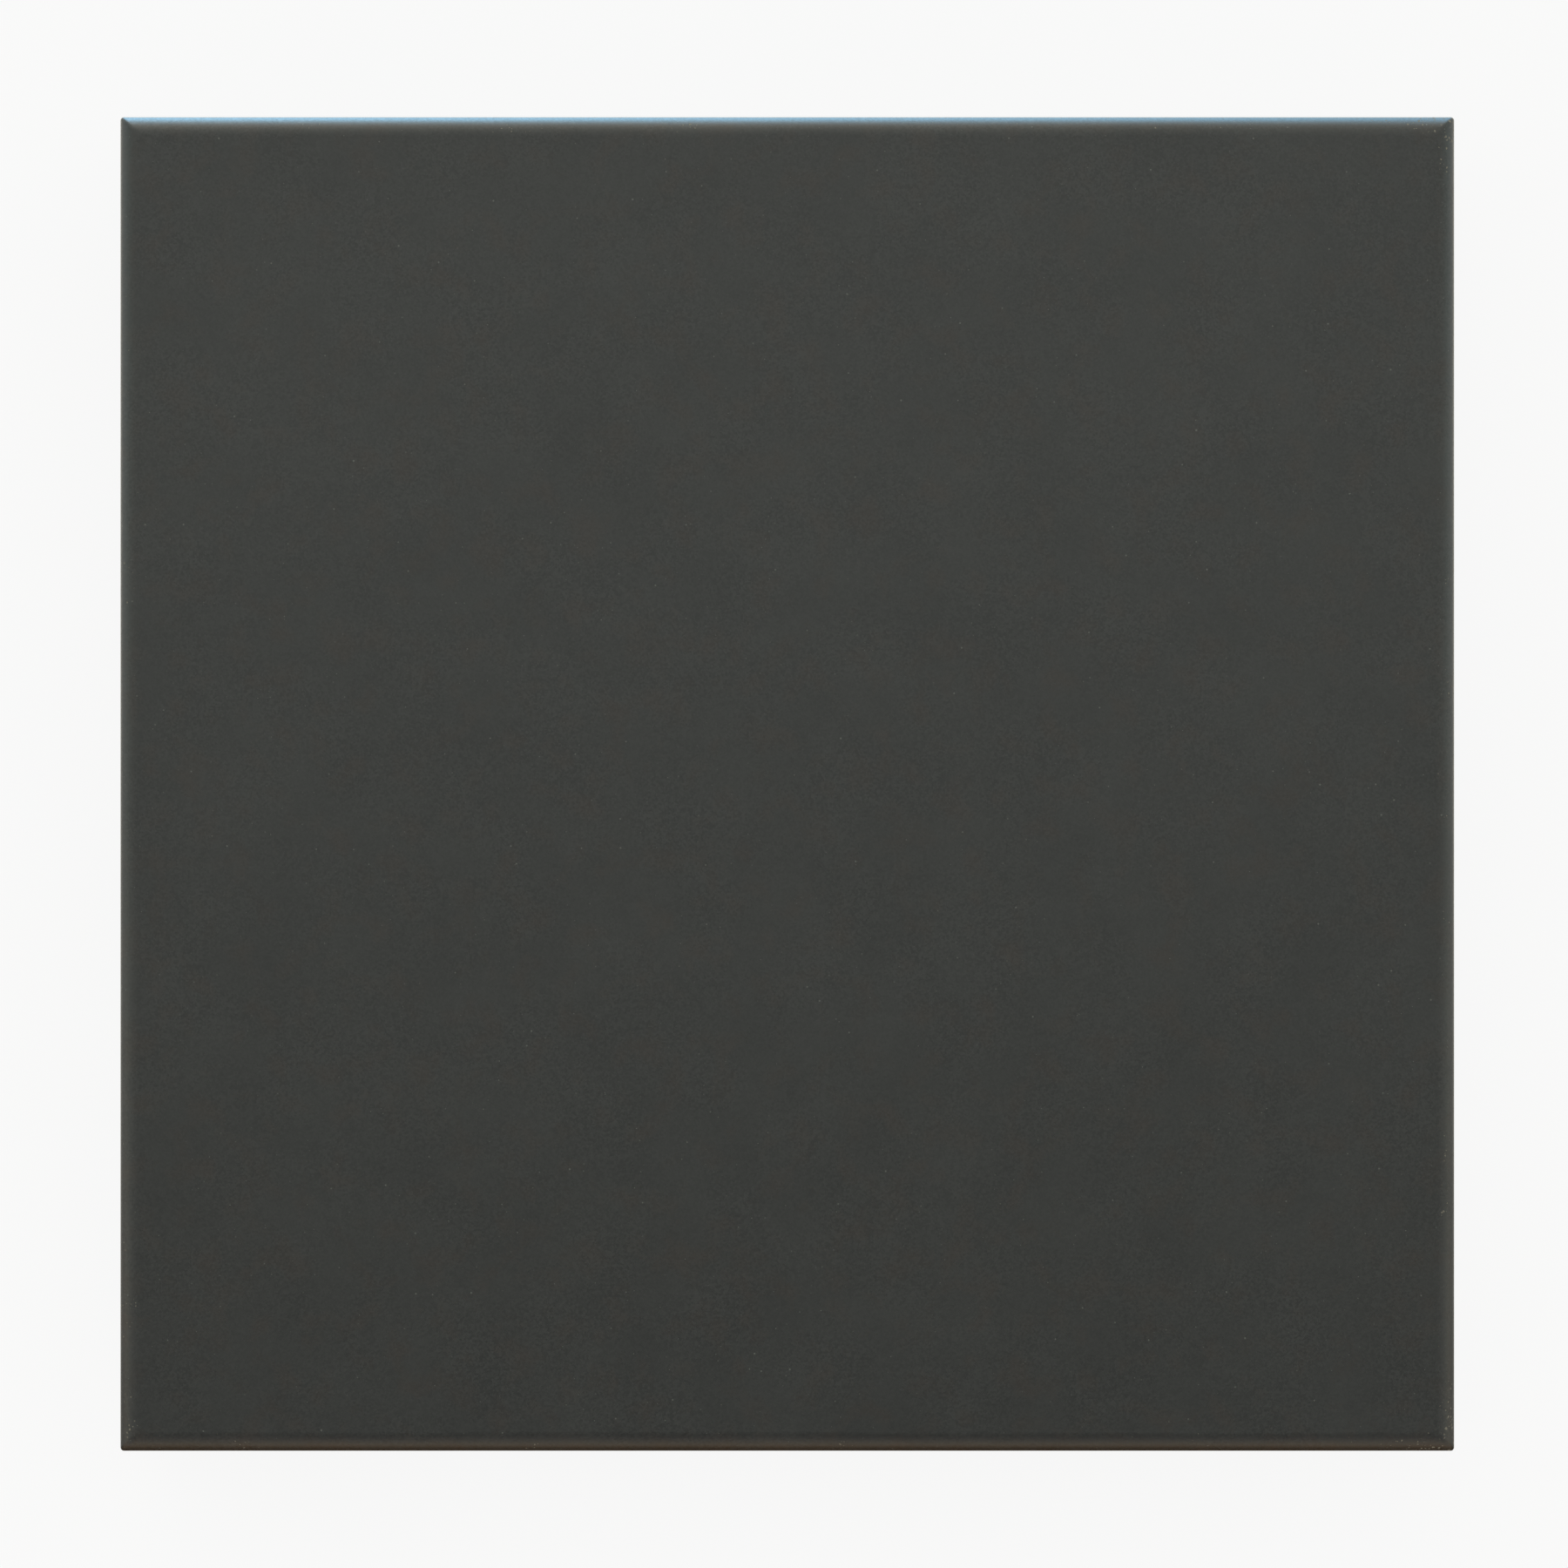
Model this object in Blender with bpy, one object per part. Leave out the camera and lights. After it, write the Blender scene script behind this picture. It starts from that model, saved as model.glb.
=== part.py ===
"""Granite tooling slab for leatherwork: a honed black stone on four stick-on rubber feet.

The stone lies flat with its working face up. The origin is on the bench, under the middle of the
stone. +Z is up, and the sides face -Y (front), +Y (back), -X (left) and +X (right).
"""

import math

import bmesh
import bpy
from mathutils import Matrix

MM = 0.001

# Stone, in millimetres
SLAB_SIDE = 305.0  # square
SLAB_THICKNESS = 30.0
CORNER_RADIUS = 0.8  # upright corners, seen from above
EASE_WIDTH = 5.0  # the eased top edge reaches this far in from the side
EASE_DROP = 5.0  # and this far down from the working face
FACE_CORNER_RADIUS = 1.0  # corners of the flat face, inside the eased edge
ARRIS_RADIUS = 1.0  # bottom edge

# Rubber feet, in millimetres
FOOT_HEIGHT = 5.0
FOOT_RADIUS = 11.0  # at the top, where the foot is widest
FOOT_TAPER = 1.0  # the base is this much smaller in radius
FOOT_BASE_FILLET = 0.8
FOOT_TOP_FILLET = 0.4
FOOT_MARGIN = 21.5  # clear stone between a foot and the nearest sides

# Foam tape discs that hold the feet on, in millimetres
TAPE_THICKNESS = 0.8
TAPE_INSET = 1.5  # from the foot's edge to the tape's
BOND_GAP = 0.3  # between faces that are stuck together

# Facets
EASE_STEPS = 8
CORNER_STEPS = 6
ARRIS_STEPS = 4
ROUND_SEGMENTS = 40
FILLET_SEGMENTS = 3
SMOOTH_UP_TO = math.radians(35)

# Linear colour and roughness of each material
STONE = ((0.046, 0.048, 0.044), 0.42)
RUBBER = ((0.012, 0.012, 0.013), 0.72)
FOAM_TAPE = ((0.13, 0.13, 0.135), 0.85)

# Heights and places that follow from the sizes above
tape_base = FOOT_HEIGHT + BOND_GAP
slab_base = tape_base + TAPE_THICKNESS + BOND_GAP
foot_reach = SLAB_SIDE / 2 - FOOT_MARGIN - FOOT_RADIUS
foot_places = {
    "front_left": (-foot_reach, -foot_reach),
    "front_right": (foot_reach, -foot_reach),
    "back_left": (-foot_reach, foot_reach),
    "back_right": (foot_reach, foot_reach),
}


def clear_scene():
    for obj in list(bpy.data.objects):
        bpy.data.objects.remove(obj)


def make_material(name, color, roughness):
    material = bpy.data.materials.new(name)
    material.use_nodes = True
    shader = material.node_tree.nodes["Principled BSDF"]
    shader.inputs["Base Color"].default_value = (*color, 1.0)
    shader.inputs["Roughness"].default_value = roughness
    shader.inputs["Metallic"].default_value = 0.0
    return material


def mesh_from(shape, name, material):
    """Closes a bmesh into a smooth-shaded mesh, taking it from millimetres to metres."""
    bmesh.ops.transform(shape, matrix=Matrix.Scale(MM, 4), verts=shape.verts)
    bmesh.ops.recalc_face_normals(shape, faces=shape.faces)
    mesh = bpy.data.meshes.new(name)
    shape.to_mesh(mesh)
    shape.free()
    mesh.materials.append(material)
    mesh.shade_smooth()
    mesh.set_sharp_from_angle(angle=SMOOTH_UP_TO)
    return mesh


def quarter_turn(steps):
    """Angles from 0 to a right angle, both ends included."""
    return [math.pi / 2 * step / steps for step in range(steps + 1)]


def slab_profile():
    """Inset from the side and height above the stone's base, from the bottom up."""
    arris = [
        (ARRIS_RADIUS * (1 - math.sin(turn)), ARRIS_RADIUS * (1 - math.cos(turn)))
        for turn in quarter_turn(ARRIS_STEPS)
    ]
    # a quarter round, level where it meets the working face
    ease = [
        (EASE_WIDTH * (1 - math.cos(turn)), SLAB_THICKNESS - EASE_DROP * (1 - math.sin(turn)))
        for turn in quarter_turn(EASE_STEPS)
    ]
    return arris + ease


def rounded_square(half, radius, height):
    """A level ring of points, anticlockwise from above."""
    ring = []
    for quarter in range(4):
        facing = quarter * math.pi / 2
        middle_x = (half - radius) * math.copysign(1, math.cos(facing + math.pi / 4))
        middle_y = (half - radius) * math.copysign(1, math.sin(facing + math.pi / 4))
        for turn in quarter_turn(CORNER_STEPS):
            x = middle_x + radius * math.cos(facing + turn)
            y = middle_y + radius * math.sin(facing + turn)
            ring.append((x, y, height))
    return ring


def slab_mesh(material):
    """The stone, with its base at height 0: rounded squares joined up its profile."""
    shape = bmesh.new()
    rings = []
    for inset, height in slab_profile():
        corner = CORNER_RADIUS + (FACE_CORNER_RADIUS - CORNER_RADIUS) * inset / EASE_WIDTH
        points = rounded_square(SLAB_SIDE / 2 - inset, corner, height)
        rings.append([shape.verts.new(point) for point in points])
    for lower, upper in zip(rings, rings[1:]):
        for here in range(len(lower)):
            after = (here + 1) % len(lower)
            shape.faces.new((lower[here], lower[after], upper[after], upper[here]))
    shape.faces.new(reversed(rings[0]))
    shape.faces.new(rings[-1])
    return mesh_from(shape, "granite_slab", material)


def disc(base_radius, top_radius, height):
    """An upright round bmesh with its base at height 0."""
    shape = bmesh.new()
    bmesh.ops.create_cone(
        shape,
        cap_ends=True,
        segments=ROUND_SEGMENTS,
        radius1=base_radius,
        radius2=top_radius,
        depth=height,
        matrix=Matrix.Translation((0.0, 0.0, height / 2)),
    )
    return shape


def round_rim(shape, height, radius):
    """Fillets the circle of edges at a height."""
    rim = [edge for edge in shape.edges if all(abs(v.co.z - height) < 1e-6 for v in edge.verts)]
    bmesh.ops.bevel(
        shape,
        geom=rim,
        offset=radius,
        offset_type="OFFSET",
        segments=FILLET_SEGMENTS,
        profile=0.5,
        affect="EDGES",
    )


def foot_mesh(material):
    """A moulded bumper, narrower at the base, with its base at height 0."""
    shape = disc(FOOT_RADIUS - FOOT_TAPER, FOOT_RADIUS, FOOT_HEIGHT)
    round_rim(shape, 0.0, FOOT_BASE_FILLET)
    round_rim(shape, FOOT_HEIGHT, FOOT_TOP_FILLET)
    return mesh_from(shape, "foot", material)


def tape_mesh(material):
    """A stamped disc of foam tape, with its base at height 0."""
    radius = FOOT_RADIUS - TAPE_INSET
    return mesh_from(disc(radius, radius, TAPE_THICKNESS), "foot_tape", material)


def place(name, mesh, parent, x, y, height):
    obj = bpy.data.objects.new(name, mesh)
    bpy.context.scene.collection.objects.link(obj)
    obj.parent = parent
    obj.location = (x * MM, y * MM, height * MM)


def main():
    clear_scene()
    assembly = bpy.data.objects.new("slab_assembly", None)
    bpy.context.scene.collection.objects.link(assembly)

    slab = slab_mesh(make_material("honed_black_granite", *STONE))
    place("granite_slab", slab, assembly, 0.0, 0.0, slab_base)

    foot = foot_mesh(make_material("black_rubber", *RUBBER))
    tape = tape_mesh(make_material("grey_foam_tape", *FOAM_TAPE))
    for corner, (x, y) in foot_places.items():
        place(f"foot_{corner}", foot, assembly, x, y, 0.0)
        place(f"foot_tape_{corner}", tape, assembly, x, y, tape_base)


main()
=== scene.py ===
import math

import bpy
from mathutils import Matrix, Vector


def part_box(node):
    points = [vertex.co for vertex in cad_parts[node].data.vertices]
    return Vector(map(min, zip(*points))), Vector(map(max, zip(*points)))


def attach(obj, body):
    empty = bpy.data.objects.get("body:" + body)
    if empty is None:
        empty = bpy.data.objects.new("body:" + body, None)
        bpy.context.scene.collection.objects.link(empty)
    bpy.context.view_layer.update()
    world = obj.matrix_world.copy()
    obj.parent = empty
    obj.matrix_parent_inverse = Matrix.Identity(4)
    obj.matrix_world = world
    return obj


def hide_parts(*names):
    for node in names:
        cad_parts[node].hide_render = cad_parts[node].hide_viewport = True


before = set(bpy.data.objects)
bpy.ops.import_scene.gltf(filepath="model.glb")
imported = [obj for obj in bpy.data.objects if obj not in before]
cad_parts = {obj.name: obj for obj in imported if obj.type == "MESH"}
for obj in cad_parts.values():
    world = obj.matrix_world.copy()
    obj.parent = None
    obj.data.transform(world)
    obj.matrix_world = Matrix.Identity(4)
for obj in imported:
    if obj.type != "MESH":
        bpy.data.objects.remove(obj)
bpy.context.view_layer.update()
slabLow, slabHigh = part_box("granite_slab")
footLow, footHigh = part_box("foot_back_right")
tapeLow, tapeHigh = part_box("foot_tape_back_right")
scene = bpy.context.scene
mm = 0.001
print("frame loaded with", len(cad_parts), "nodes")


# camera, straight down on the working face
cameraValues = {
    "lens": 85.0,  # mm
    "sensor": 36.0,  # mm
    "slabShare": 0.85,  # of the view's width
    "beside": (-0.76 * mm, 0.0),  # the slab sits a little right of the middle
    "easeDrop": 5.0 * mm,  # from the face down to the foot of the eased edge
}


def addCamera(values):
    data = bpy.data.cameras.new("camera")
    data.lens = values["lens"]
    data.sensor_width = values["sensor"]
    camera = bpy.data.objects.new("camera", data)
    scene.collection.objects.link(camera)
    viewWidth = (slabHigh.x - slabLow.x) / values["slabShare"]
    distance = viewWidth * values["lens"] / values["sensor"]
    # measured from the foot of the eased edge, where the slab is widest
    camera.location = (*values["beside"], slabHigh.z - values["easeDrop"] + distance)
    scene.camera = camera


addCamera(cameraValues)
print("camera placed")


# helpers for colours, nodes, materials and trees
def linearColour(hexColour):
    channels = [int(hexColour[i : i + 2], 16) / 255 for i in (1, 3, 5)]
    linear = [c / 12.92 if c <= 0.04045 else ((c + 0.055) / 1.055) ** 2.4 for c in channels]
    return (*linear, 1.0)


def addNode(tree, kind, inputs=(), output=0, **settings):
    # inputs is a list in the sockets' order, where None skips one, or a dictionary by name
    node = tree.nodes.new(kind)
    for name, value in settings.items():
        setattr(node, name, value)
    for key, value in inputs.items() if isinstance(inputs, dict) else enumerate(inputs):
        if isinstance(value, bpy.types.NodeSocket):
            tree.links.new(value, node.inputs[key])
        elif value is not None:
            node.inputs[key].default_value = value
    return node.outputs[output] if node.outputs else None


def newMaterial(name):
    material = bpy.data.materials.new(name)
    material.use_nodes = True
    material.node_tree.nodes.clear()
    return material


def newTree(name, values):
    tree = bpy.data.node_groups.new(name, "GeometryNodeTree")
    tree.interface.new_socket("Geometry", in_out="OUTPUT", socket_type="NodeSocketGeometry")
    for label, value in values.items():
        kind = "NodeSocketInt" if isinstance(value, int) else "NodeSocketFloat"
        tree.interface.new_socket(label, in_out="INPUT", socket_type=kind)
    return tree


def softShaded(tree, shape):
    # light runs smoothly over the rounds and breaks at every edge sharper than 30 degrees
    shape = addNode(tree, "GeometryNodeSetShadeSmooth", {"Geometry": shape}, domain="FACE")
    bend = addNode(tree, "GeometryNodeInputMeshEdgeAngle")
    limit = math.radians(30.0)
    sharp = addNode(tree, "ShaderNodeMath", [bend, limit], operation="GREATER_THAN")
    return addNode(
        tree,
        "GeometryNodeSetShadeSmooth",
        {"Geometry": shape, "Selection": sharp, "Shade Smooth": False},
        domain="EDGE",
    )


def pieceFromTree(name, tree, values, nodes):
    piece = bpy.data.objects.new(name, bpy.data.meshes.new(name + "Start"))
    scene.collection.objects.link(piece)
    modifier = piece.modifiers.new("shape", "NODES")
    modifier.node_group = tree
    for item in tree.interface.items_tree:
        if item.in_out == "INPUT":
            modifier[item.identifier] = values[item.name]
    evaluated = piece.evaluated_get(bpy.context.evaluated_depsgraph_get())
    mesh = bpy.data.meshes.new_from_object(evaluated)
    piece.modifiers.remove(modifier)
    # the start mesh brings an empty material slot
    while None in list(mesh.materials):
        mesh.materials.pop(index=list(mesh.materials).index(None))
    piece.data = mesh
    mesh.name = name
    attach(piece, "root")
    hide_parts(*nodes)
    print(name, "made with", len(mesh.polygons), "faces")
    return piece


# stone: black dolerite, sold as absolute black granite, its face and eased edge honed with a
# fine pad. That leaves an even charcoal satin: the crystals barely part from each other, a few
# pale feldspar crystals show as spots whose colour is partly their own tone and partly a
# painted glint, and the edge draws soft highlights.
stoneFinishes = {
    "honedGranite": {
        "dark": "#1f201e",
        "light": "#2f302e",
        "roughness": 0.40,
        "roughnessSpread": 0.04,
        "relief": 0.004,  # mm
        # pale crystal spots: their own tone, with a painted glint in it
        "paleCrystalAndPaintedGlint": "#52544f",
    },
    # the sides are ground with a coarser pad, along their length, and left duller. The pad's
    # real scratches are about 0.1 mm apart, and are drawn coarser so that they show.
    "groundGranite": {
        "dark": "#242424",
        "light": "#353535",
        "roughness": 0.66,
        "roughnessSpread": 0.08,
        "relief": 0.012,
        # pale crystal spots: their own tone, with a painted glint in it
        "paleCrystalAndPaintedGlint": "#60625d",
        "strokes": {"pitch": 0.9, "relief": 0.007, "across": "Z"},  # mm
    },
    # the underside is as the saw left it, paler and rough, with the blade's marks across it
    "sawnGranite": {
        "dark": "#444643",
        "light": "#5d5f5b",
        "roughness": 0.82,
        "roughnessSpread": 0.08,
        "relief": 0.04,
        # pale crystal spots: their own tone, with a painted glint in it
        "paleCrystalAndPaintedGlint": "#8a8c86",
        "strokes": {"pitch": 3.4, "relief": 0.06, "across": "X"},
    },
}
stoneGrain = {
    "crystal": 0.45,  # mm across, as in a fine dolerite
    "crystalShare": 0.95,  # of the way from dark to light
    "patch": 14.0,  # mm, the crystals stand out more in some patches than in others
    "patchContrast": (0.5, 1.3),  # how much they do, from least to most
    "cloud": 22.0,  # mm, slow drift of tone
    "cloudShare": 0.6,
    "bloom": ("#33281f", 0.3),  # faint iron staining, and how much of it shows at most
    "bloomSize": 7.0,  # mm
    "bloomLevels": (0.5, 0.7),  # of the noise, where a bloom begins and where it is strongest
    "ior": 1.6,  # between feldspar, 1.56, and pyroxene, 1.65
    # the few crystals large enough to be made out, as pale spots whose colour is partly their own
    # tone and partly a painted glint: spacing through the stone, and radius, in mm
    "paleCrystalsAndPaintedGlints": [(3.5, 0.23), (1.8, 0.13)],
}
# knocks at the right-hand corners and here and there along the edge, which bare the pale,
# crushed stone
chipValues = {
    "colour": "#736e62",
    "roughness": 0.85,
    "spacing": 0.9,  # mm
    "radius": 0.36,  # mm, where the wear is worst
    "depth": (3.0, 6.0),  # mm in from the side, from fully worn to not at all
    "drop": (4.0, 8.0),  # mm down from the face, the same way
    "cornerReach": (6.0, 24.0),  # mm along the edge from a corner, the same way
    "leftShare": 0.25,  # how worn the left-hand corners are, next to those at the right
    "patch": 9.0,  # mm, size of a worn patch
    "patchLevels": (0.52, 0.75),  # of the noise, where a patch begins and where it is worst
    "ragged": 0.3,  # mm, size of the steps in a chip's outline
    "shake": 0.6,  # mm, how far those steps go
}


def dotPattern(tree, place, spacing, radius):
    # round spots scattered through the stone; radius may be a socket
    cells = addNode(
        tree,
        "ShaderNodeTexVoronoi",
        {"Vector": place, "Scale": 1 / (spacing * mm), "Randomness": 1.0},
        output="Distance",
        feature="F1",
    )
    apart = addNode(tree, "ShaderNodeMath", [cells, spacing], operation="MULTIPLY")
    draw = addNode(
        tree, "ShaderNodeSeparateColor", [cells.node.outputs["Color"]], output="Green"
    )
    limit = addNode(tree, "ShaderNodeMath", [draw, radius], operation="MULTIPLY")
    return addNode(tree, "ShaderNodeMath", [apart, limit], operation="LESS_THAN")


def chipPattern(tree, place, values):
    # distance in from the side, and from the corners at the right
    sides = addNode(tree, "ShaderNodeVectorMath", [place], operation="ABSOLUTE")
    sides = addNode(tree, "ShaderNodeSeparateXYZ", [sides]).node.outputs
    outer = addNode(tree, "ShaderNodeMath", [sides["X"], sides["Y"]], operation="MAXIMUM")
    inner = addNode(tree, "ShaderNodeMath", [sides["X"], sides["Y"]], operation="MINIMUM")
    half = slabHigh.x
    worst, none = values["depth"]
    edge = addNode(
        tree, "ShaderNodeMapRange", [outer, half - none * mm, half - worst * mm, 0.0, 1.0]
    )
    worst, none = values["cornerReach"]
    corner = addNode(
        tree, "ShaderNodeMapRange", [inner, half - none * mm, half - worst * mm, 0.0, 1.0]
    )
    right = addNode(tree, "ShaderNodeSeparateXYZ", [place])
    right = addNode(
        tree, "ShaderNodeMapRange", [right, 0.0, 100 * mm, values["leftShare"], 1.0]
    )
    corner = addNode(tree, "ShaderNodeMath", [corner, right], operation="MULTIPLY")
    patches = addNode(
        tree,
        "ShaderNodeTexNoise",
        {"Vector": place, "Scale": 1 / (values["patch"] * mm), "Detail": 3.0},
    )
    patches = addNode(
        tree, "ShaderNodeMapRange", [patches, *values["patchLevels"], 0.0, 1.0]
    )
    worn = addNode(tree, "ShaderNodeMath", [corner, patches], operation="MAXIMUM")
    height = addNode(tree, "ShaderNodeSeparateXYZ", [place], output="Z")
    worst, none = values["drop"]
    near = addNode(
        tree,
        "ShaderNodeMapRange",
        [height, slabHigh.z - none * mm, slabHigh.z - worst * mm, 0.0, 1.0],
    )
    for share in (edge, near):
        worn = addNode(tree, "ShaderNodeMath", [worn, share], operation="MULTIPLY")
    radius = addNode(tree, "ShaderNodeMath", [worn, values["radius"]], operation="MULTIPLY")
    # broken stone has ragged outlines, so the spots are shaken out of round
    ragged = addNode(
        tree,
        "ShaderNodeTexNoise",
        {"Vector": place, "Scale": 1 / (values["ragged"] * mm), "Detail": 2.0},
        output="Color",
    )
    ragged = addNode(
        tree, "ShaderNodeVectorMath", [ragged, (0.5, 0.5, 0.5)], operation="SUBTRACT"
    )
    shake = addNode(
        tree,
        "ShaderNodeVectorMath",
        {"Vector": ragged, "Scale": values["shake"] * mm},
        operation="SCALE",
    )
    shaken = addNode(tree, "ShaderNodeVectorMath", [place, shake], operation="ADD")
    return dotPattern(tree, shaken, values["spacing"], radius)


def graniteMaterial(name, finish, grain, chips):
    material = newMaterial(name)
    tree = material.node_tree
    place = addNode(tree, "ShaderNodeTexCoord", output="Object")

    # interlocked crystals, each with its own tone
    crystals = addNode(
        tree,
        "ShaderNodeTexVoronoi",
        {"Vector": place, "Scale": 1 / (grain["crystal"] * mm), "Randomness": 1.0},
        output="Color",
        feature="F1",
    )
    crystals = addNode(tree, "ShaderNodeSeparateColor", [crystals]).node.outputs
    clouds = addNode(
        tree,
        "ShaderNodeTexNoise",
        {"Vector": place, "Scale": 1 / (grain["cloud"] * mm), "Detail": 6.0, "Roughness": 0.8},
    )
    half = grain["cloudShare"] / 2
    drift = addNode(tree, "ShaderNodeMapRange", [clouds, 0.3, 0.7, 0.5 - half, 0.5 + half])
    half = grain["crystalShare"] / 2
    tone = addNode(tree, "ShaderNodeMapRange", [crystals["Red"], 0.0, 1.0, -half, half])
    patches = addNode(
        tree,
        "ShaderNodeTexNoise",
        {"Vector": place, "Scale": 1 / (grain["patch"] * mm), "Detail": 2.0},
    )
    contrast = addNode(
        tree, "ShaderNodeMapRange", [patches, 0.35, 0.65, *grain["patchContrast"]]
    )
    tone = addNode(tree, "ShaderNodeMath", [tone, contrast, drift], operation="MULTIPLY_ADD")
    colour = addNode(
        tree,
        "ShaderNodeMix",
        {0: tone, 6: linearColour(finish["dark"]), 7: linearColour(finish["light"])},
        output=2,
        data_type="RGBA",
    )
    bloomColour, bloomMost = grain["bloom"]
    bloom = addNode(
        tree,
        "ShaderNodeTexNoise",
        {"Vector": place, "Scale": 1 / (grain["bloomSize"] * mm), "Detail": 3.0},
    )
    bloom = addNode(
        tree, "ShaderNodeMapRange", [bloom, *grain["bloomLevels"], 0.0, bloomMost]
    )
    colour = addNode(
        tree,
        "ShaderNodeMix",
        {0: bloom, 6: colour, 7: linearColour(bloomColour)},
        output=2,
        data_type="RGBA",
    )
    # pale crystal spots, coloured partly by their own tone and partly as a painted glint
    for spacing, radius in grain["paleCrystalsAndPaintedGlints"]:
        paleCrystalAndPaintedGlint = dotPattern(tree, place, spacing, radius)
        colour = addNode(
            tree,
            "ShaderNodeMix",
            {0: paleCrystalAndPaintedGlint, 6: colour, 7: linearColour(finish["paleCrystalAndPaintedGlint"])},
            output=2,
            data_type="RGBA",
        )
    chip = chipPattern(tree, place, chips)
    colour = addNode(
        tree,
        "ShaderNodeMix",
        {0: chip, 6: colour, 7: linearColour(chips["colour"])},
        output=2,
        data_type="RGBA",
    )

    # the pad leaves some crystals duller than others, and a chip is dull
    middle, spread = finish["roughness"], finish["roughnessSpread"]
    roughness = addNode(
        tree,
        "ShaderNodeMapRange",
        [crystals["Green"], 0.0, 1.0, middle - spread, middle + spread],
    )
    roughness = addNode(tree, "ShaderNodeMix", {0: chip, 2: roughness, 3: chips["roughness"]})

    # pits between crystals, and the strokes of the pad or the saw
    pits = addNode(
        tree,
        "ShaderNodeTexNoise",
        {"Vector": place, "Scale": 1 / (grain["crystal"] * mm), "Detail": 2.0},
    )
    normal = addNode(
        tree,
        "ShaderNodeBump",
        {"Height": pits, "Strength": 1.0, "Distance": finish["relief"] * mm},
    )
    if "strokes" in finish:
        strokes = finish["strokes"]
        waves = addNode(
            tree,
            "ShaderNodeTexWave",
            {
                "Vector": place,
                "Scale": 2 * math.pi / 20 / (strokes["pitch"] * mm),
                "Distortion": 2.5,
                "Detail": 3.0,
                "Detail Scale": 0.35,
            },
            bands_direction=strokes["across"],
        )
        normal = addNode(
            tree,
            "ShaderNodeBump",
            {
                "Height": waves,
                "Strength": 1.0,
                "Distance": strokes["relief"] * mm,
                "Normal": normal,
            },
        )
    shader = addNode(
        tree,
        "ShaderNodeBsdfPrincipled",
        {"Base Color": colour, "Roughness": roughness, "Normal": normal, "IOR": grain["ior"]},
    )
    addNode(tree, "ShaderNodeOutputMaterial", [shader])
    return material


stone = {
    name: graniteMaterial(name, finish, stoneGrain, chipValues)
    for name, finish in stoneFinishes.items()
}
print("granite finishes made")


# slab: rows of points run from the middle of the underside, out round the bottom edge, up the
# side, over the eased edge and in to the middle of the face
slabRows = {"under": 5, "arris": 5, "side": 12, "ease": 16, "face": 6}
slabValues = {
    "Side": slabHigh.x - slabLow.x,
    "Thickness": slabHigh.z - slabLow.z,
    "Base height": slabLow.z,
    "Ease width": 5.0 * mm,
    "Ease drop": 5.0 * mm,
    "Ease variation": 0.06,  # hand work: the width of the ease drifts by this share
    "Ease drift": 45.0 * mm,  # length of that drift
    "Arris radius": 1.0 * mm,
    "Nick depth": 0.45 * mm,  # chips along the bottom edge
    "Nick length": 3.5 * mm,
    "Corner radius": 0.8 * mm,
    "Face corner radius": 1.0 * mm,
    "Corner crowding": 0.45,  # draws points towards the corners, up to 0.5
    "Points round": 1025,  # a multiple of 8, plus 1
    "Seed": 7,
}


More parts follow.
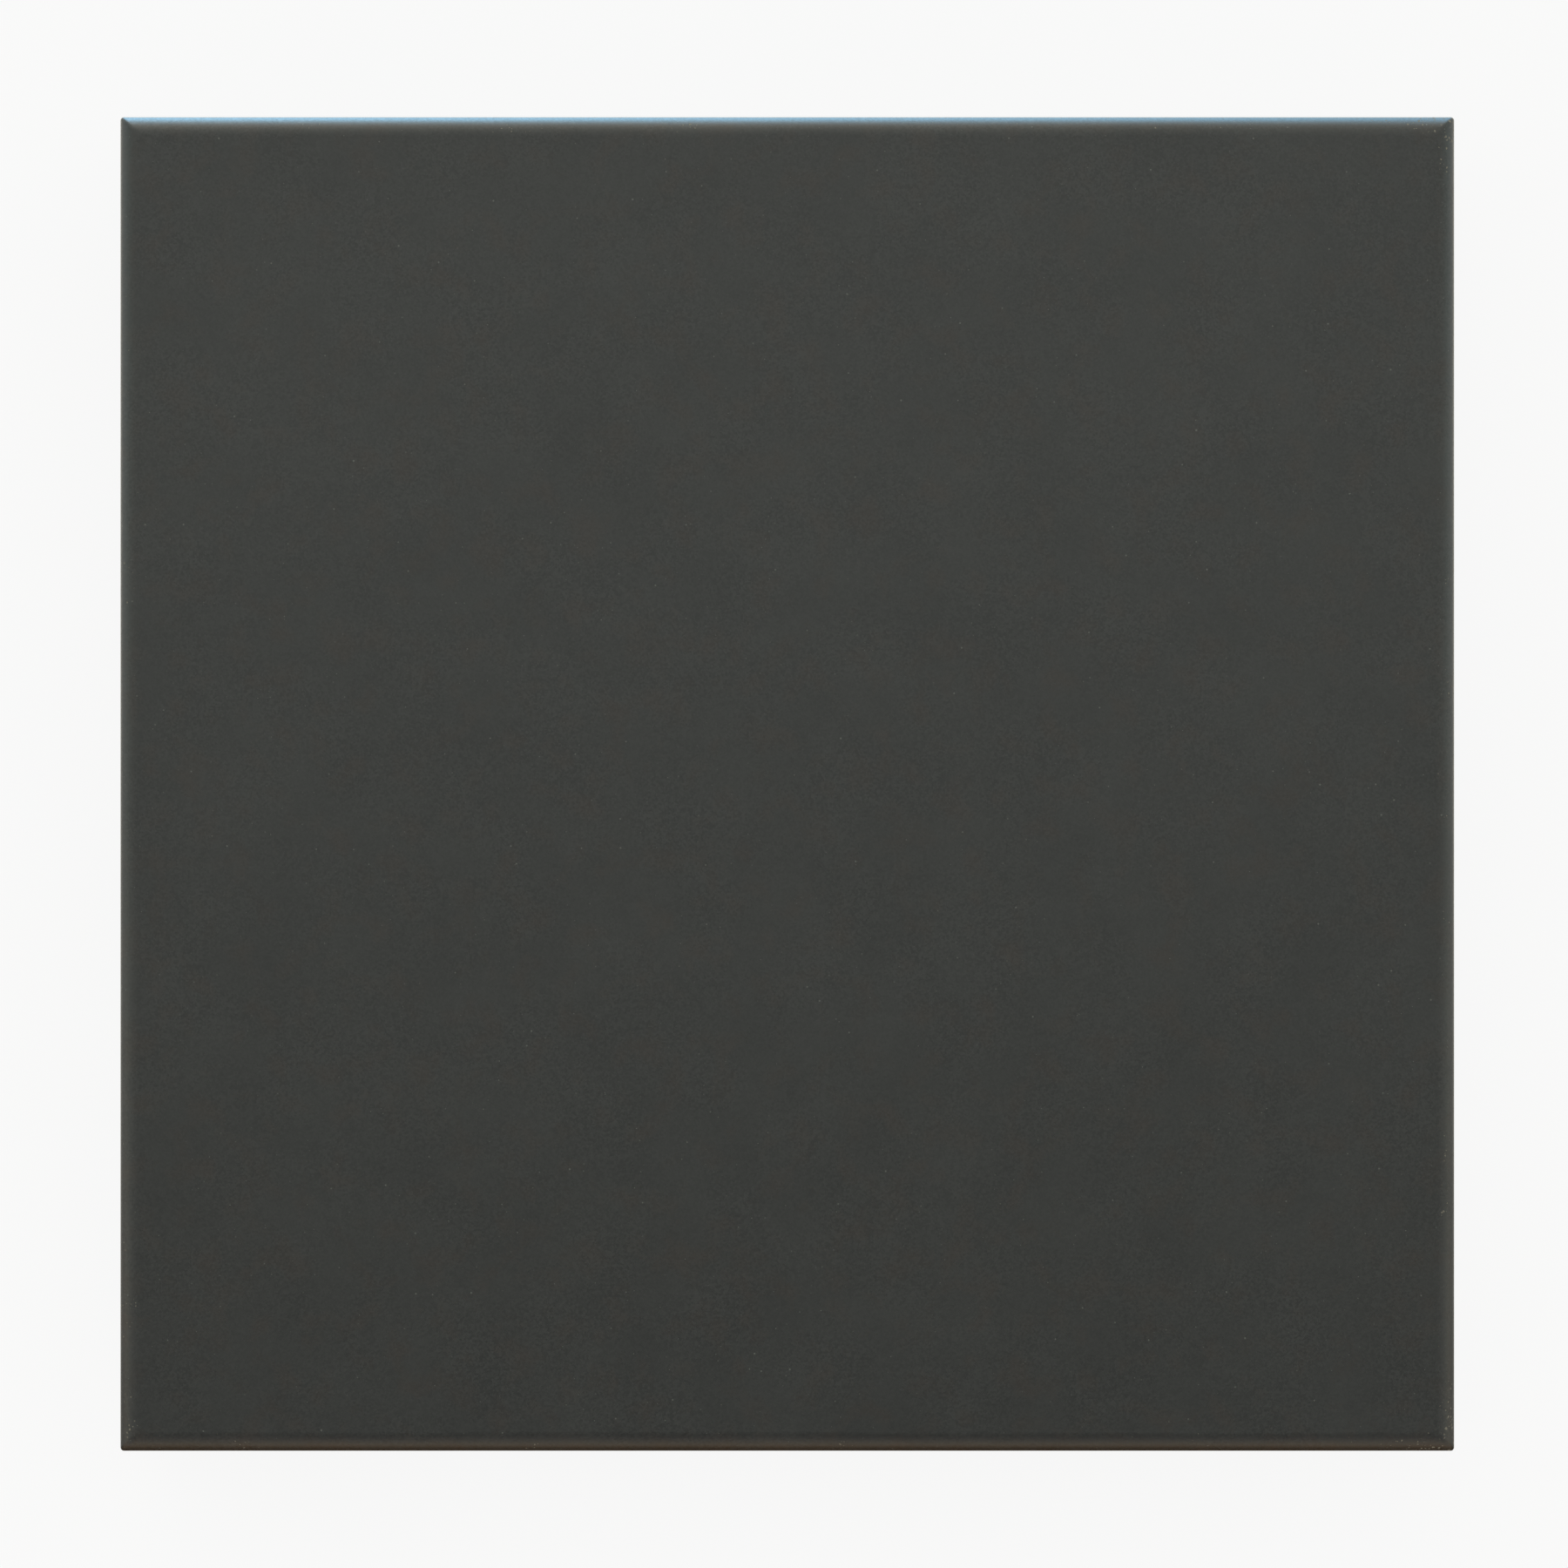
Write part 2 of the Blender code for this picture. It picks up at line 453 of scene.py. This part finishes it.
def slabTree(values, rows, stone):
    tree = newTree("easedSlab", values)
    sizes = addNode(tree, "NodeGroupInput").node.outputs
    half = addNode(tree, "ShaderNodeMath", [sizes["Side"], 0.5], operation="MULTIPLY")
    rowCount = sum(rows.values())
    grid = addNode(
        tree,
        "GeometryNodeMeshGrid",
        {
            "Size X": 4.0,
            "Size Y": float(rowCount),
            "Vertices X": sizes["Points round"],
            "Vertices Y": rowCount + 1,
        },
    )
    position = addNode(tree, "GeometryNodeInputPosition")
    turn = addNode(tree, "ShaderNodeSeparateXYZ", [position])
    row = addNode(
        tree, "ShaderNodeMath", [turn.node.outputs["Y"], rowCount / 2], operation="ADD"
    )

    # how far each row is through each stretch of the profile, from 0 to 1
    share, start = {}, 0
    for stretch, count in rows.items():
        share[stretch] = addNode(
            tree, "ShaderNodeMapRange", [row, float(start), float(start + count), 0.0, 1.0]
        )
        start += count
    quarter = math.pi / 2
    bend = {
        stretch: addNode(
            tree, "ShaderNodeMath", [share[stretch], quarter], operation="MULTIPLY"
        )
        for stretch in ("arris", "ease")
    }
    sine = {s: addNode(tree, "ShaderNodeMath", [bend[s]], operation="SINE") for s in bend}
    cosine = {s: addNode(tree, "ShaderNodeMath", [bend[s]], operation="COSINE") for s in bend}

    # a square walked once round, four units long, with its points drawn towards the corners
    walk = []
    for shift in (0.0, 1.0):
        along = addNode(tree, "ShaderNodeMath", [turn, shift], operation="SUBTRACT")
        wave = addNode(tree, "ShaderNodeMath", [along, 2.0], operation="PINGPONG")
        flat = addNode(tree, "ShaderNodeMapRange", [wave, 0.5, 1.5, 1.0, -1.0])
        square = addNode(tree, "ShaderNodeMath", [flat, flat], operation="MULTIPLY")
        crowding = sizes["Corner crowding"]
        least = addNode(tree, "ShaderNodeMath", [crowding, 1.0], operation="ADD")
        less = addNode(tree, "ShaderNodeMath", [square, crowding], operation="MULTIPLY")
        factor = addNode(tree, "ShaderNodeMath", [least, less], operation="SUBTRACT")
        walk.append(addNode(tree, "ShaderNodeMath", [flat, factor], operation="MULTIPLY"))
    unit = addNode(tree, "ShaderNodeCombineXYZ", walk)
    outline = addNode(
        tree, "ShaderNodeVectorMath", {0: unit, "Scale": half}, operation="SCALE"
    )

    # the ease is wider here and narrower there
    easeScale = addNode(
        tree, "ShaderNodeMath", [1.0, sizes["Ease drift"]], operation="DIVIDE"
    )
    drift = addNode(
        tree,
        "ShaderNodeTexNoise",
        {"Vector": outline, "W": sizes["Seed"], "Scale": easeScale, "Detail": 2.0},
        noise_dimensions="4D",
    )
    drift = addNode(tree, "ShaderNodeMapRange", [drift, 0.2, 0.8, -1.0, 1.0])
    inner = addNode(tree, "ShaderNodeMath", [1.0, share["face"]], operation="SUBTRACT")
    drift = addNode(tree, "ShaderNodeMath", [drift, inner], operation="MULTIPLY")
    drift = addNode(
        tree, "ShaderNodeMath", [drift, sizes["Ease variation"], 1.0], operation="MULTIPLY_ADD"
    )

    # chips where the bottom edge has met something: the highest parts of a noise, deepest half
    # way round the arris, where sine times cosine reaches a half
    nickScale = addNode(
        tree, "ShaderNodeMath", [1.0, sizes["Nick length"]], operation="DIVIDE"
    )
    nick = addNode(
        tree,
        "ShaderNodeTexNoise",
        {"Vector": outline, "W": sizes["Seed"], "Scale": nickScale, "Detail": 2.0},
        noise_dimensions="4D",
    )
    nick = addNode(
        tree, "ShaderNodeMapRange", [nick, 0.66, 0.78, 0.0, 1.0], interpolation_type="SMOOTHSTEP"
    )
    onArris = addNode(
        tree, "ShaderNodeMath", [sine["arris"], cosine["arris"]], operation="MULTIPLY"
    )
    nick = addNode(tree, "ShaderNodeMath", [nick, onArris], operation="MULTIPLY")
    nick = addNode(tree, "ShaderNodeMath", [nick, sizes["Nick depth"]], operation="MULTIPLY")
    nick = addNode(tree, "ShaderNodeMath", [nick, 2.0], operation="MULTIPLY")

    # inset from the side, summed over the stretches
    under = addNode(tree, "ShaderNodeMath", [1.0, share["under"]], operation="SUBTRACT")
    # the first row in on each flat is a narrow one, so that it stays flat to the light
    under = addNode(tree, "ShaderNodeMath", [under, 4.0], operation="POWER")
    face = addNode(tree, "ShaderNodeMath", [share["face"], 4.0], operation="POWER")
    underReach = addNode(
        tree, "ShaderNodeMath", [half, sizes["Arris radius"]], operation="SUBTRACT"
    )
    faceReach = addNode(
        tree, "ShaderNodeMath", [half, sizes["Ease width"]], operation="SUBTRACT"
    )
    arrisIn = addNode(tree, "ShaderNodeMath", [1.0, sine["arris"]], operation="SUBTRACT")
    easeIn = addNode(tree, "ShaderNodeMath", [1.0, cosine["ease"]], operation="SUBTRACT")
    easeIn = addNode(tree, "ShaderNodeMath", [easeIn, drift], operation="MULTIPLY")
    inset = nick
    for part, reach in (
        (under, underReach),
        (arrisIn, sizes["Arris radius"]),
        (easeIn, sizes["Ease width"]),
        (face, faceReach),
    ):
        inset = addNode(
            tree, "ShaderNodeMath", [part, reach, inset], operation="MULTIPLY_ADD"
        )

    # height, the same way
    arrisUp = addNode(tree, "ShaderNodeMath", [1.0, cosine["arris"]], operation="SUBTRACT")
    sideRise = addNode(
        tree, "ShaderNodeMath", [sizes["Thickness"], sizes["Arris radius"]], operation="SUBTRACT"
    )
    sideRise = addNode(
        tree, "ShaderNodeMath", [sideRise, sizes["Ease drop"]], operation="SUBTRACT"
    )
    height = sizes["Base height"]
    for part, rise in (
        (arrisUp, sizes["Arris radius"]),
        (share["side"], sideRise),
        (sine["ease"], sizes["Ease drop"]),
    ):
        height = addNode(
            tree, "ShaderNodeMath", [part, rise, height], operation="MULTIPLY_ADD"
        )

    # the square shrinks by the inset, and its corners are rounded
    reach = addNode(tree, "ShaderNodeMath", [half, inset], operation="SUBTRACT")
    reach = addNode(tree, "ShaderNodeMath", [reach, 0.0], operation="MAXIMUM")
    radius = addNode(
        tree,
        "ShaderNodeMapRange",
        [inset, 0.0, sizes["Ease width"], sizes["Corner radius"], sizes["Face corner radius"]],
    )
    radius = addNode(tree, "ShaderNodeMath", [radius, reach], operation="MINIMUM")
    straight = addNode(tree, "ShaderNodeMath", [reach, radius], operation="SUBTRACT")
    highest = addNode(tree, "ShaderNodeCombineXYZ", [straight, straight])
    lowest = addNode(
        tree, "ShaderNodeVectorMath", {0: highest, "Scale": -1.0}, operation="SCALE"
    )
    point = addNode(tree, "ShaderNodeVectorMath", {0: unit, "Scale": reach}, operation="SCALE")
    core = addNode(tree, "ShaderNodeVectorMath", [point, highest], operation="MINIMUM")
    core = addNode(tree, "ShaderNodeVectorMath", [core, lowest], operation="MAXIMUM")
    outward = addNode(tree, "ShaderNodeVectorMath", [point, core], operation="SUBTRACT")
    outward = addNode(tree, "ShaderNodeVectorMath", [outward], operation="NORMALIZE")
    outward = addNode(
        tree, "ShaderNodeVectorMath", {0: outward, "Scale": radius}, operation="SCALE"
    )
    level = addNode(tree, "ShaderNodeCombineXYZ", {"Z": height})
    point = addNode(tree, "ShaderNodeVectorMath", [core, outward], operation="ADD")
    point = addNode(tree, "ShaderNodeVectorMath", [point, level], operation="ADD")

    shape = addNode(tree, "GeometryNodeSetPosition", {"Geometry": grid, "Position": point})
    shape = addNode(
        tree, "GeometryNodeMergeByDistance", {"Geometry": shape, "Distance": 0.001 * mm}
    )
    shape = softShaded(tree, shape)
    shape = addNode(tree, "GeometryNodeRealizeInstances", [shape])
    shape = addNode(
        tree, "GeometryNodeSetMaterial", {"Geometry": shape, "Material": stone["honedGranite"]}
    )
    faceHeight = addNode(tree, "ShaderNodeSeparateXYZ", [position], output="Z")
    top = addNode(
        tree, "ShaderNodeMath", [sizes["Base height"], sizes["Thickness"]], operation="ADD"
    )
    easeFoot = addNode(tree, "ShaderNodeMath", [top, sizes["Ease drop"]], operation="SUBTRACT")
    underEdge = addNode(tree, "ShaderNodeMath", [sizes["Base height"], 0.02 * mm], operation="ADD")
    for limit, name in ((easeFoot, "groundGranite"), (underEdge, "sawnGranite")):
        below = addNode(tree, "FunctionNodeCompare", [faceHeight, limit], operation="LESS_THAN")
        shape = addNode(
            tree,
            "GeometryNodeSetMaterial",
            {"Geometry": shape, "Selection": below, "Material": stone[name]},
        )
    addNode(tree, "NodeGroupOutput", [shape])
    return tree


pieceFromTree(
    "graniteSlab",
    slabTree(slabValues, slabRows, stone),
    slabValues,
    ["granite_slab"],
)


# feet: black rubber, compression moulded, with a fine spark-eroded skin that takes hardly any
# shine, and dust on the sides
rubberValues = {
    "skin": "#1b1b1c",
    "worn": "#2a2a2a",
    "roughness": (0.62, 0.80),
    "grit": 0.35,  # mm, coarser than the mould's real 0.1 mm, so that it shows
    "patch": 4.2,  # mm, size of the paler, worn patches
    "relief": 0.02,  # mm
    "ior": 1.52,
}
# closed-cell foam tape, stamped out: mid grey, with open cells showing on its cut edge
foamValues = {
    "skin": "#5a5a5c",
    "worn": "#77777a",
    "roughness": (0.85, 0.95),
    "grit": 0.22,
    "patch": 2.64,
    "relief": 0.05,
    "ior": 1.5,
}


def mouldedMaterial(name, values):
    material = newMaterial(name)
    tree = material.node_tree
    place = addNode(tree, "ShaderNodeTexCoord", output="Object")
    grit = addNode(
        tree,
        "ShaderNodeTexNoise",
        {"Vector": place, "Scale": 1 / (values["grit"] * mm), "Detail": 3.0},
    )
    handled = addNode(
        tree,
        "ShaderNodeTexNoise",
        {"Vector": place, "Scale": 1 / (values["patch"] * mm), "Detail": 2.0},
    )
    amount = addNode(tree, "ShaderNodeMath", [grit, handled], operation="MULTIPLY")
    amount = addNode(tree, "ShaderNodeMapRange", [amount, 0.15, 0.45, 0.0, 1.0])
    colour = addNode(
        tree,
        "ShaderNodeMix",
        {0: amount, 6: linearColour(values["skin"]), 7: linearColour(values["worn"])},
        output=2,
        data_type="RGBA",
    )
    roughness = addNode(tree, "ShaderNodeMapRange", [grit, 0.3, 0.7, *values["roughness"]])
    normal = addNode(
        tree,
        "ShaderNodeBump",
        {"Height": grit, "Strength": 1.0, "Distance": values["relief"] * mm},
    )
    shader = addNode(
        tree,
        "ShaderNodeBsdfPrincipled",
        {"Base Color": colour, "Roughness": roughness, "Normal": normal, "IOR": values["ior"]},
    )
    addNode(tree, "ShaderNodeOutputMaterial", [shader])
    return material


# pads: turned discs, one under each corner. A foot is a taper with two fillets, and a tape disc
# is a straight one that bulges a little under the stone's weight.
padRows = {"base": 3, "lower": 4, "wall": 8, "upper": 4, "top": 3}
footValues = {
    "Reach": (footLow.x + footHigh.x) / 2,  # from the slab's middle, along x and along y
    "Base height": footLow.z,
    "Height": footHigh.z - footLow.z,
    "Base radius": (footHigh.x - footLow.x) / 2 - 1.0 * mm,  # the foot tapers by 1 mm
    "Top radius": (footHigh.x - footLow.x) / 2,
    "Lower fillet": 0.8 * mm,
    "Upper fillet": 0.4 * mm,
    "Bulge": 0.08 * mm,
    "Points round": 97,
}
tapeValues = {
    "Reach": (tapeLow.x + tapeHigh.x) / 2,
    "Base height": footHigh.z,  # the foam is squeezed between the foot and the stone
    "Height": slabLow.z - footHigh.z,
    "Base radius": (tapeHigh.x - tapeLow.x) / 2,
    "Top radius": (tapeHigh.x - tapeLow.x) / 2,
    "Lower fillet": 0.12 * mm,
    "Upper fillet": 0.12 * mm,
    "Bulge": 0.15 * mm,
    "Points round": 97,
}


def padTree(name, values, rows, material):
    tree = newTree(name, values)
    sizes = addNode(tree, "NodeGroupInput").node.outputs
    rowCount = sum(rows.values())
    grid = addNode(
        tree,
        "GeometryNodeMeshGrid",
        {
            "Size X": 2 * math.pi,
            "Size Y": float(rowCount),
            "Vertices X": sizes["Points round"],
            "Vertices Y": rowCount + 1,
        },
    )
    position = addNode(tree, "GeometryNodeInputPosition")
    angle = addNode(tree, "ShaderNodeSeparateXYZ", [position])
    row = addNode(
        tree, "ShaderNodeMath", [angle.node.outputs["Y"], rowCount / 2], operation="ADD"
    )
    share, start = {}, 0
    for stretch, count in rows.items():
        share[stretch] = addNode(
            tree, "ShaderNodeMapRange", [row, float(start), float(start + count), 0.0, 1.0]
        )
        start += count
    quarter = math.pi / 2
    bend = {
        stretch: addNode(
            tree, "ShaderNodeMath", [share[stretch], quarter], operation="MULTIPLY"
        )
        for stretch in ("lower", "upper")
    }
    sine = {s: addNode(tree, "ShaderNodeMath", [bend[s]], operation="SINE") for s in bend}
    cosine = {s: addNode(tree, "ShaderNodeMath", [bend[s]], operation="COSINE") for s in bend}

    # radius: out across the base, round the lower fillet, up the wall, round and in again
    baseReach = addNode(
        tree, "ShaderNodeMath", [sizes["Base radius"], sizes["Lower fillet"]], operation="SUBTRACT"
    )
    topReach = addNode(
        tree, "ShaderNodeMath", [sizes["Upper fillet"], sizes["Top radius"]], operation="SUBTRACT"
    )
    taper = addNode(
        tree, "ShaderNodeMath", [sizes["Top radius"], sizes["Base radius"]], operation="SUBTRACT"
    )
    upperIn = addNode(tree, "ShaderNodeMath", [cosine["upper"], 1.0], operation="SUBTRACT")
    belly = addNode(tree, "ShaderNodeMath", [share["wall"], math.pi], operation="MULTIPLY")
    belly = addNode(tree, "ShaderNodeMath", [belly], operation="SINE")
    radius = 0.0
    for part, reach in (
        (share["base"], baseReach),
        (sine["lower"], sizes["Lower fillet"]),
        (share["wall"], taper),
        (belly, sizes["Bulge"]),
        (upperIn, sizes["Upper fillet"]),
        (share["top"], topReach),
    ):
        radius = addNode(
            tree, "ShaderNodeMath", [part, reach, radius], operation="MULTIPLY_ADD"
        )

    lowerUp = addNode(tree, "ShaderNodeMath", [1.0, cosine["lower"]], operation="SUBTRACT")
    wallRise = addNode(
        tree, "ShaderNodeMath", [sizes["Height"], sizes["Lower fillet"]], operation="SUBTRACT"
    )
    wallRise = addNode(
        tree, "ShaderNodeMath", [wallRise, sizes["Upper fillet"]], operation="SUBTRACT"
    )
    height = sizes["Base height"]
    for part, rise in (
        (lowerUp, sizes["Lower fillet"]),
        (share["wall"], wallRise),
        (sine["upper"], sizes["Upper fillet"]),
    ):
        height = addNode(
            tree, "ShaderNodeMath", [part, rise, height], operation="MULTIPLY_ADD"
        )

    ring = [
        addNode(tree, "ShaderNodeMath", [angle], operation=side) for side in ("COSINE", "SINE")
    ]
    ring = [addNode(tree, "ShaderNodeMath", [side, radius], operation="MULTIPLY") for side in ring]
    point = addNode(tree, "ShaderNodeCombineXYZ", [*ring, height])
    pad = addNode(tree, "GeometryNodeSetPosition", {"Geometry": grid, "Position": point})
    pad = addNode(
        tree, "GeometryNodeMergeByDistance", {"Geometry": pad, "Distance": 0.001 * mm}
    )
    pad = softShaded(tree, pad)

    apart = addNode(tree, "ShaderNodeMath", [sizes["Reach"], 2.0], operation="MULTIPLY")
    corners = addNode(
        tree,
        "GeometryNodeMeshGrid",
        {"Size X": apart, "Size Y": apart, "Vertices X": 2, "Vertices Y": 2},
    )
    pads = addNode(tree, "GeometryNodeInstanceOnPoints", {"Points": corners, "Instance": pad})
    pads = addNode(tree, "GeometryNodeRealizeInstances", [pads])
    pads = addNode(tree, "GeometryNodeSetMaterial", {"Geometry": pads, "Material": material})
    addNode(tree, "NodeGroupOutput", [pads])
    return tree


rubber = mouldedMaterial("mouldedRubber", rubberValues)
foam = mouldedMaterial("stampedFoamTape", foamValues)
corners = [f"{end}_{side}" for end in ("front", "back") for side in ("left", "right")]
pieceFromTree(
    "rubberFeet",
    padTree("mouldedFoot", footValues, padRows, rubber),
    footValues,
    [f"foot_{corner}" for corner in corners],
)
pieceFromTree(
    "footTape",
    padTree("stampedTape", tapeValues, padRows, foam),
    tapeValues,
    [f"foot_tape_{corner}" for corner in corners],
)


# floor: matt white paper that glows a little, so that it stays even round the slab. Under the
# slab it only takes what light gets there.
floorValues = {
    "size": 12.0,  # metres
    "paper": "#f8f8f8",
    "glow": 0.92,  # share of the paper's brightness that doesn't depend on the lights
    "strength": 1.037,  # brings the paper back up to its own white
    "shadeReach": 14.0 * mm,  # the glow dies away over this distance, in under the slab's edge
}


def addFloor(values):
    half = values["size"] / 2
    mesh = bpy.data.meshes.new("floor")
    corners = [(-half, -half, 0.0), (half, -half, 0.0), (half, half, 0.0), (-half, half, 0.0)]
    mesh.from_pydata(corners, [], [(0, 1, 2, 3)])
    floor = bpy.data.objects.new("floor", mesh)
    scene.collection.objects.link(floor)
    material = newMaterial("whitePaper")
    tree = material.node_tree
    place = addNode(tree, "ShaderNodeTexCoord", output="Object")
    place = addNode(tree, "ShaderNodeVectorMath", [place], operation="ABSOLUTE")
    sides = addNode(tree, "ShaderNodeSeparateXYZ", [place])
    furthest = addNode(
        tree, "ShaderNodeMath", [sides, sides.node.outputs["Y"]], operation="MAXIMUM"
    )
    glow = addNode(
        tree,
        "ShaderNodeMapRange",
        [furthest, slabHigh.x - values["shadeReach"], slabHigh.x, 0.0, values["glow"]],
        interpolation_type="SMOOTHSTEP",
    )
    paper = addNode(
        tree, "ShaderNodeBsdfDiffuse", {"Color": linearColour(values["paper"])}
    )
    light = addNode(
        tree,
        "ShaderNodeEmission",
        {"Color": linearColour(values["paper"]), "Strength": values["strength"]},
    )
    surface = addNode(tree, "ShaderNodeMixShader", [glow, paper, light])
    addNode(tree, "ShaderNodeOutputMaterial", [surface])
    mesh.materials.append(material)
    floor.visible_glossy = False


addFloor(floorValues)
print("floor laid")


# room: daylight comes in low from the back, over a pale table. The left and right are plain
# walls, and the front is a dim room over brown wood. Each list runs from below to overhead:
# height above the horizon in degrees, colour, brightness.
roomValues = {
    "back": [
        (-60, "#a7dcff", 5.4),
        (-30, "#a9deff", 5.9),
        (-14, "#b8e5ff", 6.0),
        (-4, "#cfeeff", 4.9),
        (6, "#f0fcff", 3.2),
        (20, "#fff9eb", 2.0),
        (40, "#fffdef", 1.3),
        (65, "#fdfff2", 1.3),
    ],
    "sides": [
        (-60, "#fffdec", 1.25),
        (-26, "#fbfffe", 0.75),
        (-4, "#f1fffc", 1.15),
        (20, "#ecfffb", 0.97),
        (50, "#fefff7", 0.86),
        (90, "#f9fffc", 0.88),
    ],
    "front": [
        (-60, "#ffc070", 0.12),
        (-40, "#ffb070", 0.05),
        (-26, "#ffb070", 0.03),
        (-9, "#ffbb71", 0.43),
        (6, "#ffe6c8", 1.06),
        (18, "#fff2dd", 0.84),
        (45, "#fbf9ff", 0.44),
        (90, "#fbf9ff", 0.0),
    ],
    "backReach": (0.45, 0.85),  # how far round a direction faces before the back takes over
    "backWidth": (0.25, 0.5),  # and how far to each side the back reaches
    "frontReach": (-0.1, 0.35),
    "backMiddle": 1.05,  # brightness of the middle of the back, and how much more of it there
    "backLean": 2.2,  # is towards the left
    "backLeanLimits": (0.6, 1.45),
    "backdrop": "#f9faf9",
}


def skyRamp(tree, height, stops, peak):
    colours = addNode(tree, "ShaderNodeValToRGB", [height])
    ramp = colours.node.color_ramp
    ramp.interpolation = "EASE"
    for number, (degrees, colour, brightness) in enumerate(stops):
        place = 0.5 + 0.5 * math.sin(math.radians(degrees))
        element = ramp.elements[number] if number < 2 else ramp.elements.new(1.0)
        element.position = place
        element.color = [part * brightness / peak for part in linearColour(colour)]
    return colours


def addRoom(values):
    world = bpy.data.worlds.new("room")
    world.use_nodes = True
    tree = world.node_tree
    tree.nodes.clear()
    facing = addNode(tree, "ShaderNodeTexCoord", output="Generated")
    facing = addNode(tree, "ShaderNodeSeparateXYZ", [facing]).node.outputs
    height = addNode(tree, "ShaderNodeMapRange", [facing["Z"], -1.0, 1.0, 0.0, 1.0])
    peak = max(stop[2] for side in ("back", "sides", "front") for stop in values[side])
    toBack = addNode(
        tree,
        "ShaderNodeMapRange",
        [facing["Y"], *values["backReach"], 0.0, 1.0],
        interpolation_type="SMOOTHSTEP",
    )
    aside = addNode(tree, "ShaderNodeMath", [facing["X"]], operation="ABSOLUTE")
    ahead = addNode(
        tree,
        "ShaderNodeMapRange",
        [aside, *values["backWidth"], 1.0, 0.0],
        interpolation_type="SMOOTHSTEP",
    )
    toBack = addNode(tree, "ShaderNodeMath", [toBack, ahead], operation="MULTIPLY")
    away = addNode(tree, "ShaderNodeMath", [facing["Y"], -1.0], operation="MULTIPLY")
    toFront = addNode(
        tree,
        "ShaderNodeMapRange",
        [away, *values["frontReach"], 0.0, 1.0],
        interpolation_type="SMOOTHSTEP",
    )
    lean = addNode(
        tree,
        "ShaderNodeMath",
        [facing["X"], -values["backLean"], values["backMiddle"]],
        operation="MULTIPLY_ADD",
    )
    lean = addNode(tree, "ShaderNodeClamp", [lean, *values["backLeanLimits"]])
    back = skyRamp(tree, height, values["back"], peak)
    back = addNode(tree, "ShaderNodeVectorMath", {0: back, "Scale": lean}, operation="SCALE")
    front = skyRamp(tree, height, values["front"], peak)
    walls = skyRamp(tree, height, values["sides"], peak)
    for share, side in ((toBack, back), (toFront, front)):
        walls = addNode(
            tree, "ShaderNodeMix", {0: share, 6: walls, 7: side}, output=2, data_type="RGBA"
        )
    room = addNode(tree, "ShaderNodeBackground", [walls, peak])
    backdrop = addNode(tree, "ShaderNodeBackground", [linearColour(values["backdrop"]), 1.0])
    seen = addNode(tree, "ShaderNodeLightPath", output="Is Camera Ray")
    surface = addNode(tree, "ShaderNodeMixShader", [seen, room, backdrop])
    addNode(tree, "ShaderNodeOutputWorld", [surface])
    scene.world = world


addRoom(roomValues)
scene.view_settings.view_transform = "Standard"
print("lights set")
